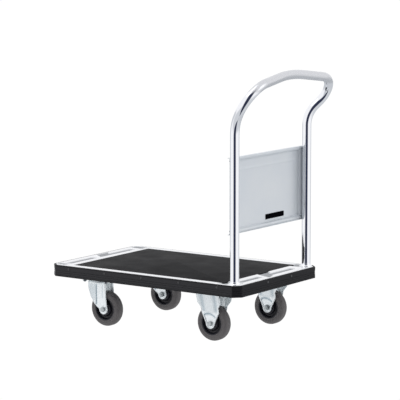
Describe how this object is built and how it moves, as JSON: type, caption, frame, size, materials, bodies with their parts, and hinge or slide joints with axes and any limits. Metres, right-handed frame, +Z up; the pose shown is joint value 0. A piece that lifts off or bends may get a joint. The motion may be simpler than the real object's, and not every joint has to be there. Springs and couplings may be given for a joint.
{
  "type": "platform truck",
  "caption": "Flatbed platform truck: pressed steel deck with rubber mat and bumper, fixed chrome push handle with a sheet panel, swivel front casters and rigid rear casters.",
  "frame": {"origin": "on the ground under the middle of the whole truck's bounding box", "axes": "+X towards the push handle and the operator, +Y to the operator's right when facing the deck, +Z up"},
  "size_m": [0.8869, 0.5474, 0.9313],
  "materials": {
    "deck_steel": "bright zinc-plated pressed steel, satin with soft reflections",
    "mat_rubber": "fine pebbled black anti-slip mat",
    "bumper_rubber": "satin black extruded rubber",
    "rivet_steel": "dull steel",
    "frame_steel": "grey zinc primer",
    "chrome_tube": "bright chrome plating",
    "panel_metal": "light silver-grey enamel, semi-gloss",
    "plate_black": "gloss black, blank",
    "zinc_steel": "bright blue-white zinc plating on pressed steel",
    "fastener_zinc": "zinc plated",
    "tyre_rubber": "grey-brown solid rubber",
    "core_plastic": "near-black moulded core",
    "bearing_steel": "ground bearing steel"
  },
  "bodies": {
    "chassis": {"deck_pan": "deck_steel", "deck_mat": "mat_rubber", "bumper": "bumper_rubber", "bumper_rivets": "rivet_steel", "panel_rivets": "rivet_steel", "front_crossmember": "frame_steel", "rear_crossmember": "frame_steel", "left_stiffener": "frame_steel", "right_stiffener": "frame_steel", "left_handle_socket": "frame_steel", "right_handle_socket": "frame_steel", "handle_tube": "chrome_tube", "handle_collars": "chrome_tube", "back_panel": "panel_metal", "name_plate": "plate_black", "rear_left_bracket": "zinc_steel", "rear_right_bracket": "zinc_steel", "front_left_plate": "zinc_steel", "front_right_plate": "zinc_steel", "handle_bolts": "fastener_zinc", "handle_nuts": "fastener_zinc", "caster_bolts": "fastener_zinc", "caster_nuts": "fastener_zinc", "front_left_kingpin": "fastener_zinc", "front_right_kingpin": "fastener_zinc", "rear_left_inner_rings": "bearing_steel", "rear_left_sleeve": "fastener_zinc", "rear_left_axle_bolt": "fastener_zinc", "rear_left_axle_nut": "fastener_zinc", "rear_right_inner_rings": "bearing_steel", "rear_right_sleeve": "fastener_zinc", "rear_right_axle_bolt": "fastener_zinc", "rear_right_axle_nut": "fastener_zinc"},
    "front_left_swivel": {"front_left_fork": "zinc_steel", "front_left_swivel_balls": "bearing_steel", "front_left_inner_rings": "bearing_steel", "front_left_sleeve": "fastener_zinc", "front_left_axle_bolt": "fastener_zinc", "front_left_axle_nut": "fastener_zinc"},
    "front_right_swivel": {"front_right_fork": "zinc_steel", "front_right_swivel_balls": "bearing_steel", "front_right_inner_rings": "bearing_steel", "front_right_sleeve": "fastener_zinc", "front_right_axle_bolt": "fastener_zinc", "front_right_axle_nut": "fastener_zinc"},
    "front_left_wheel": {"front_left_tyre": "tyre_rubber", "front_left_core": "core_plastic", "front_left_outer_rings": "bearing_steel"},
    "front_right_wheel": {"front_right_tyre": "tyre_rubber", "front_right_core": "core_plastic", "front_right_outer_rings": "bearing_steel"},
    "rear_left_wheel": {"rear_left_tyre": "tyre_rubber", "rear_left_core": "core_plastic", "rear_left_outer_rings": "bearing_steel"},
    "rear_right_wheel": {"rear_right_tyre": "tyre_rubber", "rear_right_core": "core_plastic", "rear_right_outer_rings": "bearing_steel"}
  },
  "joints": [
    {"name": "front_left_swivel_turn", "type": "hinge", "parent": "chassis", "child": "front_left_swivel", "pos_m": [-0.27476, -0.1792, 0.161], "axis": [0, 0, 1], "continuous": true},
    {"name": "front_right_swivel_turn", "type": "hinge", "parent": "chassis", "child": "front_right_swivel", "pos_m": [-0.27476, 0.1792, 0.161], "axis": [0, 0, 1], "continuous": true},
    {"name": "front_left_wheel_spin", "type": "hinge", "parent": "front_left_swivel", "child": "front_left_wheel", "pos_m": [-0.24476, -0.1792, 0.0625], "axis": [0, 1, 0], "continuous": true},
    {"name": "front_right_wheel_spin", "type": "hinge", "parent": "front_right_swivel", "child": "front_right_wheel", "pos_m": [-0.24476, 0.1792, 0.0625], "axis": [0, 1, 0], "continuous": true},
    {"name": "rear_left_wheel_spin", "type": "hinge", "parent": "chassis", "child": "rear_left_wheel", "pos_m": [0.21794, -0.1792, 0.0625], "axis": [0, 1, 0], "continuous": true},
    {"name": "rear_right_wheel_spin", "type": "hinge", "parent": "chassis", "child": "rear_right_wheel", "pos_m": [0.21794, 0.1792, 0.0625], "axis": [0, 1, 0], "continuous": true}
  ]
}
